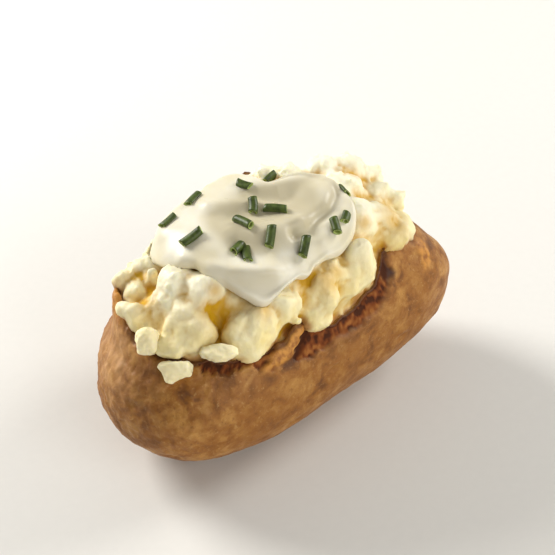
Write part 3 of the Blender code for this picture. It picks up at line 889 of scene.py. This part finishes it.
# Painted highlight: the top of the heap is painted paler.
mark(run, "painted_light", [0.8 * smooth_step((vert.co.z - TOP_HIGHLIGHT_ABOVE) / TOP_HIGHLIGHT_OVER) for vert in run.vertices])
browned = []
for vert in run.vertices:
    _, _, _, distance = jacket_tree.find_nearest(vert.co, BROWNING_REACH)
    near = 0.0 if distance is None else 1.0 - distance / BROWNING_REACH
    browned.append(smooth_step(near * 1.5 - 0.6 + 0.8 * noise.noise(vert.co * per_metre(3.0))) * 0.8)
mark(run, "browned", browned)
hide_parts("fluffed_flesh")
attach(flesh, "root")

# ---- The loose pieces ----------------------------------------------------------------------------
# Three pieces of flesh that have come off the heap and hang over the rim.

LOOSE_CHUNKS = {
    "hanging_chunk": ((-48.9, -14.0, 20.2), (5.0, 3.2, 3.6), -41.0),
    "left_chunk": ((-51.0, -3.8, 25.7), (3.8, 3.3, 4.6), -41.0),
    "near_chunk": ((-37.4, -19.4, 23.9), (5.2, 2.9, 2.8), -41.0),
}

for chunk_name, (chunk_place, chunk_half, chunk_turn) in LOOSE_CHUNKS.items():
    loose = Heap()
    centre = BODY_MIDDLE + Vector(chunk_place) * MM
    upright = Matrix.Rotation(math.radians(chunk_turn), 3, "Z")
    loose.add(*broken_lump(centre, Vector(chunk_half) * MM, 5, flats=10, bluntness=12.0, turned=upright))
    chunk = loose.piece("loose_" + chunk_name, flesh_surface)
    push_out(chunk.data, [
        MM * (0.55 * noise.noise(vert.co * per_metre(3.4)) + 0.30 * noise.noise(vert.co * per_metre(1.4)))
        for vert in chunk.data.vertices])
    # The loose pieces get an even share of the painted paleness, and no painted shade or browning.
    for name, value in (("painted_light", 0.3), ("hollow", 0.0), ("browned", 0.0)):
        mark(chunk.data, name, [value] * len(chunk.data.vertices))
    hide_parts(chunk_name)
    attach(chunk, "root")

# ---- The sour cream ------------------------------------------------------------------------------
# A large spoonful of thick sour cream, dropped on the hot heap so that it has settled over it. The spoon
# left a bowl in its middle, a ridge along its near side and soft rolls along its far edge.

CREAM_CENTRE = Vector((-7.0, 2.0)) * MM
CREAM_RADIUS = 23.0 * MM
CREAM_ABOVE = 5.0 * MM
CREAM_BELOW = 4.2 * MM
CREAM_EDGE_POWER = 3.2  # how steeply it rounds off at its edge
FLESH_UNDER_CREAM = 1.2 * MM  # how far the pressed flesh stays below its top
CREAM_SEGMENTS = 320
CREAM_RINGS = 120

# Lobes and notches of its outline: (bearing, reach in mm, half-width in degrees).
CREAM_LOBES = (
    (-12.0, 9.5, 42.0),
    (28.0, -11.0, 18.0),
    (66.0, 2.5, 22.0),
    (140.0, 7.5, 38.0),
    (232.0, 1.4, 14.0),
    (264.0, -3.2, 18.0),
    (187.0, -1.8, 10.0),
    (293.0, -2.4, 13.0),
    (330.0, 1.2, 12.0),
)

# Ridges (above 0) and valleys (below 0) of its top: height and half-width in mm, and the points that they
# follow, in mm from the middle of the body.
CREAM_FOLDS = (
    (-5.6, 8.0, ((-8, 4), (7, -1))),  # the bowl
    (-1.8, 4.6, ((-15.5, 9), (-18.5, 2), (-17, -5))),
    (-2.0, 4.0, ((-17, -5), (-11, -9.5), (-4.5, -12))),
    (1.0, 2.6, ((-12, 12.5), (-4, 6.5), (2, -1), (3, -7))),  # the ridge along its far side
    (-1.8, 3.2, ((-1, 9.5), (6, 3.4), (13, 3.2), (18, 4))),
    (-2.6, 1.9, ((22.7, -4), (18.5, -6.6), (15.4, -8.5), (10.8, -9.6), (3.2, -11.2),
                 (-1, -10.5))),  # a crease
    (2.0, 2.8, ((22, -9.5), (14, -14), (5, -15.5))),
    (2.8, 2.1, ((-31, 3), (-28.5, -3.5), (-24.4, -8.3), (-18.3, -12.2), (-10.9, -16.2), (-4.1, -18.8),
                (4, -20.2))),  # the near ridge
    (-1.8, 2.0, ((-26.5, -10.8), (-22, -15), (-15.5, -18.2))),
    (3.4, 4.4, ((-27, 16), (-22, 20))),  # the far rolls
    (3.4, 4.0, ((-16, 20), (-11, 21.5))),
    (3.6, 4.0, ((-4, 21), (3, 20.5))),
    (2.4, 3.4, ((11, 14), (18, 8))),
)
CREAM_LIP = 1.3 * MM  # how high its thin edge stands


def cream_reach(bearing):
    """The cream's radius at a bearing from its middle."""
    return CREAM_RADIUS + (rises(bearing, CREAM_LOBES) + 0.5 * wander(bearing / 13.0, 31.0)) * MM


def cream_rounding(out):
    """The share of the cream's height that is left at a place, 1 in the middle and 0 at its edge."""
    return max(0.0, 1.0 - out ** CREAM_EDGE_POWER) ** 0.5


def distance_to_path(x, y, path):
    """The shortest way from a point to a line through points."""
    nearest = 1.0e9
    for (ax, ay), (bx, by) in zip(path, path[1:]):
        run_x = bx - ax
        run_y = by - ay
        share = ((x - ax) * run_x + (y - ay) * run_y) / (run_x * run_x + run_y * run_y)
        share = min(1.0, max(0.0, share))
        nearest = min(nearest, math.hypot(x - ax - share * run_x, y - ay - share * run_y))
    return nearest


def cream_folds(x, y):
    """The height of ridges less the depth of valleys at a place, in metres."""
    height = 0.0
    for rise, half_width, path in CREAM_FOLDS:
        height += rise * math.exp(-((distance_to_path(x / MM, y / MM, path) / half_width) ** 2))
    return height * MM


def heap_point(x, y, lift):
    """The point of the smooth heap above x and y, from the middle of the body, pushed out by lift."""
    middle = HEAP_CENTRE - BODY_MIDDLE
    flat = Vector(((x - middle.x) / HEAP_HALF.x, (y - middle.y) / HEAP_HALF.y, 0.0))
    if flat.length > 0.97:
        flat = flat.normalized() * 0.97
    flat.z = math.sqrt(1.0 - flat.length_squared)
    normal = Vector(part / half for part, half in zip(flat, HEAP_HALF)).normalized()
    return HEAP_CENTRE + Vector(part * half for part, half in zip(flat, HEAP_HALF)) + normal * lift


# Sour cream: smooth, thick and wet, off-white with a warm cast where light goes through its thin edges,
# with a broad soft shine.
CREAM_WHITE = "#ebe6d4"
CREAM_WARM = "#dfd5b5"
# Painted shade: the bowl and the valleys of the folds are painted a darker beige.
CREAM_VALLEY_SHADE = "#c9bfa2"

cream_surface, tree, shader, (clouds, sheen, ripples) = new_surface(
    "sour_cream", (14.0, 2.0, 0.55, 0.0), (5.0, 2.0, 0.55, 0.0), (2.2, 2.0, 0.55, 0.0))
share = add_node(tree, "ShaderNodeMapRange", {
    "Value": clouds, "From Min": 0.35, "From Max": 0.7}).outputs["Result"]
base = add_node(tree, "ShaderNodeMix", {
    0: share, 6: linear(CREAM_WHITE), 7: linear(CREAM_WARM)}, data_type="RGBA").outputs[2]
share = add_node(tree, "ShaderNodeAttribute", attribute_name="valley_shade").outputs["Fac"]
base = add_node(tree, "ShaderNodeMix", {
    0: share, 6: base, 7: linear(CREAM_VALLEY_SHADE)}, data_type="RGBA").outputs[2]
tree.links.new(base, shader.inputs["Base Color"])
rough = add_node(tree, "ShaderNodeMapRange", {
    "Value": sheen, "From Min": 0.3, "From Max": 0.7, "To Min": 0.27, "To Max": 0.40}).outputs["Result"]
tree.links.new(rough, shader.inputs["Roughness"])
relief = add_node(tree, "ShaderNodeBump", {"Height": ripples, "Strength": 0.25, "Distance": 0.25 * MM})
tree.links.new(relief.outputs["Normal"], shader.inputs["Normal"])
shader.inputs["IOR"].default_value = 1.36
shader.inputs["Subsurface Weight"].default_value = 0.3
shader.inputs["Subsurface Radius"].default_value = (1.0, 0.9, 0.6)
shader.inputs["Subsurface Scale"].default_value = 1.5 * MM


def cream_point(out, bearing, side):
    """A point on the cream: out is 0 in the middle and 1 at the edge, side is 1 on top and -1 below."""
    radius = (CREAM_RADIUS + (cream_reach(bearing) - CREAM_RADIUS) * out ** 2) * out
    turn = math.radians(bearing)
    x = CREAM_CENTRE.x + radius * math.cos(turn)
    y = CREAM_CENTRE.y + radius * math.sin(turn)
    round_off = cream_rounding(out)
    if side < 0:
        return heap_point(x, y, -CREAM_BELOW * round_off)
    uneven = 0.5 * MM * noise.noise(Vector((x, y, 0.0)) * per_metre(7.0))
    thin_side = bump(bearing, -20.0, 55.0) + bump(bearing, 245.0, 40.0)
    lip = CREAM_LIP * thin_side * math.exp(-(((out - 0.955) / 0.03) ** 2))
    return heap_point(x, y, (CREAM_ABOVE + cream_folds(x, y) + uneven) * round_off + lip)


vertices = [cream_point(0.0, 0.0, 1)]
for ring in range(1, CREAM_RINGS * 2):
    around_edge = math.pi * ring / (CREAM_RINGS * 2)
    out = math.sin(around_edge)
    side = 1 if ring <= CREAM_RINGS else -1
    vertices += [cream_point(out, 360.0 * step / CREAM_SEGMENTS, side) for step in range(CREAM_SEGMENTS)]
vertices.append(cream_point(0.0, 0.0, -1))
faces = [(first, *others[::-1]) for first, *others in shell_faces(CREAM_RINGS * 2 - 1, CREAM_SEGMENTS)]
cream = mesh_piece("spoon_of_sour_cream", vertices, faces, cream_surface)
# Painted shade in the valleys of the folds.
mark(cream.data, "valley_shade", [
    smooth_step(-cream_folds(vert.x - BODY_MIDDLE.x, vert.y - BODY_MIDDLE.y) / (3.4 * MM))
    for vert in vertices])

# It has pressed the flesh under it down.
pressed = positions(flesh.data)
for index, (x, y, z) in enumerate(pressed):
    x -= BODY_MIDDLE.x
    y -= BODY_MIDDLE.y
    across = Vector((x, y)) - CREAM_CENTRE
    bearing = math.degrees(math.atan2(across.y, across.x)) % 360.0
    out = across.length / cream_reach(bearing)
    if out < 1.0 and z > HEAP_CENTRE.z:
        lift = (CREAM_ABOVE + cream_folds(x, y)) * cream_rounding(out) - FLESH_UNDER_CREAM
        top = heap_point(x, y, lift)
        if z > top.z:
            pressed[index] = (*pressed[index][:2], top.z)
flesh.data.vertices.foreach_set("co", pressed.ravel())
flesh.data.update()
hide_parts("sour_cream")
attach(cream, "root")

# ---- The chives ----------------------------------------------------------------------------------
# Fresh chives snipped into short hollow tubes and dropped over the cream.

CHIVE_RADIUS = 1.4 * MM
CHIVE_WALL = 0.35 * MM
CHIVE_SEGMENTS = 20
CHIVE_RINGS = 9

# Place in mm from the middle of the body, length in mm, bearing of its run, and how flat it is squeezed.
CHIVES = (
    ((-9.0, -9.0), 6.6, 229.0, 0.9),
    ((-1.8, -15.8), 6.4, 227.0, 0.9),
    ((10.6, -15.5), 5.2, 249.0, 0.85),
    ((15.8, -14.3), 3.2, 39.0, 0.85),
    ((0.1, -1.4), 6.8, 127.0, 0.8),
    ((-4.0, 4.6), 5.0, 232.0, 0.8),
    ((-11.3, -0.1), 6.6, 92.0, 0.85),
    ((-18.4, -5.2), 4.8, 200.0, 0.9),
    ((-17.4, -8.6), 6.0, 238.0, 0.5),
    ((-26.1, 5.5), 7.0, 350.0, 0.9),
    ((-24.6, 18.9), 5.6, 0.0, 0.5),
    ((-13.6, 20.7), 6.4, 20.0, 0.45),
    ((0.1, 13.4), 4.6, 290.0, 0.5),
    ((11.8, 15.4), 4.4, 25.0, 0.6),
    ((24.0, -5.0), 4.6, 247.0, 0.45),
)

# Chive leaf: waxy dark green with fine darker lines along it, paler and wet inside where it is cut.
CHIVE_DARK = "#2e3a10"
CHIVE_GREEN = "#526320"
CHIVE_CUT = "#a9b866"

chive_leaf, tree, shader, (clouds, lines) = new_surface(
    "snipped_chive_leaf", (1.6, 3.0, 0.55, 0.0), (0.6, 3.0, 0.55, 0.0))
streaks = add_node(tree, "ShaderNodeMapRange", {
    "Value": clouds, "From Min": 0.3, "From Max": 0.7}).outputs["Result"]
base = add_node(tree, "ShaderNodeMix", {
    0: streaks, 6: linear(CHIVE_DARK), 7: linear(CHIVE_GREEN)}, data_type="RGBA").outputs[2]
share = add_node(tree, "ShaderNodeAttribute", attribute_name="cut").outputs["Fac"]
base = add_node(tree, "ShaderNodeMix", {
    0: share, 6: base, 7: linear(CHIVE_CUT)}, data_type="RGBA").outputs[2]
tree.links.new(base, shader.inputs["Base Color"])
rough = add_node(tree, "ShaderNodeMapRange", {
    "Value": streaks, "To Min": 0.34, "To Max": 0.5}).outputs["Result"]
tree.links.new(rough, shader.inputs["Roughness"])
relief = add_node(tree, "ShaderNodeBump", {"Height": lines, "Strength": 0.3, "Distance": 0.15 * MM})
tree.links.new(relief.outputs["Normal"], shader.inputs["Normal"])
shader.inputs["IOR"].default_value = 1.45
shader.inputs["Subsurface Weight"].default_value = 0.1
shader.inputs["Subsurface Radius"].default_value = (0.4, 1.0, 0.2)
shader.inputs["Subsurface Scale"].default_value = 0.6 * MM


def chive_profile():
    """The tube's outline from its outside to its inside: share along, radius and how cut it is."""
    for ring in range(CHIVE_RINGS):
        yield ring / (CHIVE_RINGS - 1) * 2.0 - 1.0, CHIVE_RADIUS, 0.0
    yield 1.0, CHIVE_RADIUS - 0.5 * CHIVE_WALL, 1.0
    for ring in range(CHIVE_RINGS):
        yield 1.0 - ring / (CHIVE_RINGS - 1) * 2.0, CHIVE_RADIUS - CHIVE_WALL, 1.0
    yield -1.0, CHIVE_RADIUS - 0.5 * CHIVE_WALL, 1.0


resting = BVHTree.FromObject(cream, bpy.context.evaluated_depsgraph_get())
resting_flesh = BVHTree.FromObject(flesh, bpy.context.evaluated_depsgraph_get())
chive_points = []
chive_faces = []
chive_cut = []
profile = list(chive_profile())
for (x, y), length, run_bearing, squeeze in CHIVES:
    above = BODY_MIDDLE + Vector((x * MM, y * MM, 80.0 * MM))
    hits = [under.ray_cast(above, Vector((0.0, 0.0, -1.0))) for under in (resting, resting_flesh)]
    spot, upward = max(((hit[0], hit[1]) for hit in hits if hit[0]), key=lambda found: found[0].z)
    turn = math.radians(run_bearing)
    run_along = Vector((math.cos(turn), math.sin(turn), 0.0))
    run_along = (run_along - upward * run_along.dot(upward)).normalized()
    sideways = upward.cross(run_along)
    half = length * MM / 2.0
    centre = spot + upward * (CHIVE_RADIUS * squeeze * 0.72)
    start = len(chive_points)
    bend = shuffle.uniform(-0.25, 0.25) * MM
    for share, radius, cut in profile:
        slant = 0.3 * MM * share
        for step in range(CHIVE_SEGMENTS):
            angle = 2.0 * math.pi * step / CHIVE_SEGMENTS
            side = math.cos(angle) * radius
            high = math.sin(angle) * radius * squeeze
            along = half * share + slant * math.cos(angle)
            point = centre + run_along * along + sideways * (side + bend * (1.0 - share * share))
            chive_points.append(point + upward * high)
            chive_cut.append(cut)
    for ring in range(len(profile)):
        low = start + ring * CHIVE_SEGMENTS
        high = start + (ring + 1) % len(profile) * CHIVE_SEGMENTS
        for step in range(CHIVE_SEGMENTS):
            after = (step + 1) % CHIVE_SEGMENTS
            chive_faces.append((low + step, high + step, high + after, low + after))
chives = mesh_piece("snipped_chives", chive_points, chive_faces, chive_leaf)
mark(chives.data, "cut", chive_cut)
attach(chives, "root")

# ---- The studio ----------------------------------------------------------------------------------
# A pale seamless floor, a soft light from behind on the left, a weaker one from behind on the right, and a
# broad fill from the front.

FLOOR_COLOUR = "#e4e2dd"
LAMP_WHITE = "#fffdf9"
SKY_WHITE = "#f2f1ee"
FLOOR_SIZE = 4.0

floor_surface, tree, shader, (fibre,) = new_surface("pale_backdrop_paper", (3.0, 3.0, 0.55, 0.0))
paper = add_node(tree, "ShaderNodeMapRange", {
    "Value": fibre, "To Min": 0.96, "To Max": 1.0}).outputs["Result"]
base = add_node(tree, "ShaderNodeMix", {
    0: 1.0, 6: linear(FLOOR_COLOUR), 7: paper}, data_type="RGBA", blend_type="MULTIPLY").outputs[2]
tree.links.new(base, shader.inputs["Base Color"])
shader.inputs["Roughness"].default_value = 0.9
half_floor = FLOOR_SIZE / 2.0
corners = [(x * half_floor, y * half_floor, 0.0) for x, y in ((-1, -1), (1, -1), (1, 1), (-1, 1))]
floor = mesh_piece("floor", corners, [(0, 1, 2, 3)], floor_surface)

CAMERA_BEARING = -41.1  # degrees round from straight in front
CAMERA_HEIGHT = 40.1  # degrees above level
CAMERA_DISTANCE = 454.6 * MM
CAMERA_LENS = 92.8
CAMERA_SENSOR = 36.0
CAMERA_AIM = (1.40 * MM, 14.7 * MM)  # to the right of and above the middle of the body

turn = math.radians(CAMERA_BEARING)
lift = math.radians(CAMERA_HEIGHT)
right = Vector((math.cos(turn), math.sin(turn), 0.0))
back = Vector((math.sin(turn) * math.cos(lift), -math.cos(turn) * math.cos(lift), math.sin(lift)))
up = back.cross(right)


def aim(thing, position, target):
    """Place a lamp or a camera and point it at a target."""
    thing.location = position
    thing.rotation_euler = (target - position).to_track_quat("-Z", "Y").to_euler()
    bpy.context.scene.collection.objects.link(thing)


def soft_light(name, position, size, power, colour):
    lamp = bpy.data.lights.new(name, "AREA")
    lamp.shape = "DISK"
    lamp.size = size
    lamp.energy = power
    lamp.color = linear(colour)[:3]
    aim(bpy.data.objects.new(name, lamp), position, BODY_MIDDLE)


away = Vector((-back.x, -back.y, 0.0)).normalized()
high = Vector((0.0, 0.0, 1.0))
soft_light("key_light", (-right * 0.80 + away * 0.50) * 0.75 + high * 0.46, 0.40, 8.0, LAMP_WHITE)
soft_light("back_light", (right * 0.90 + away * 0.50) * 0.75 + high * 0.50, 0.40, 4.2, LAMP_WHITE)
soft_light("front_fill", (right * 0.80 - away * 0.75) * 0.8 + high * 0.38, 0.8, 4.6, LAMP_WHITE)

world = bpy.data.worlds.new("studio")
world.use_nodes = True
world.node_tree.nodes["Background"].inputs["Color"].default_value = linear(SKY_WHITE)
world.node_tree.nodes["Background"].inputs["Strength"].default_value = 0.30
bpy.context.scene.world = world
bpy.context.scene.view_settings.view_transform = "Standard"

lens = bpy.data.cameras.new("three_quarter_lens")
lens.lens = CAMERA_LENS
lens.sensor_width = CAMERA_SENSOR
lens.clip_start = 0.01
camera = bpy.data.objects.new("camera", lens)
camera_target = BODY_MIDDLE + right * CAMERA_AIM[0] + up * CAMERA_AIM[1]
aim(camera, camera_target + back * CAMERA_DISTANCE, camera_target)
bpy.context.scene.camera = camera
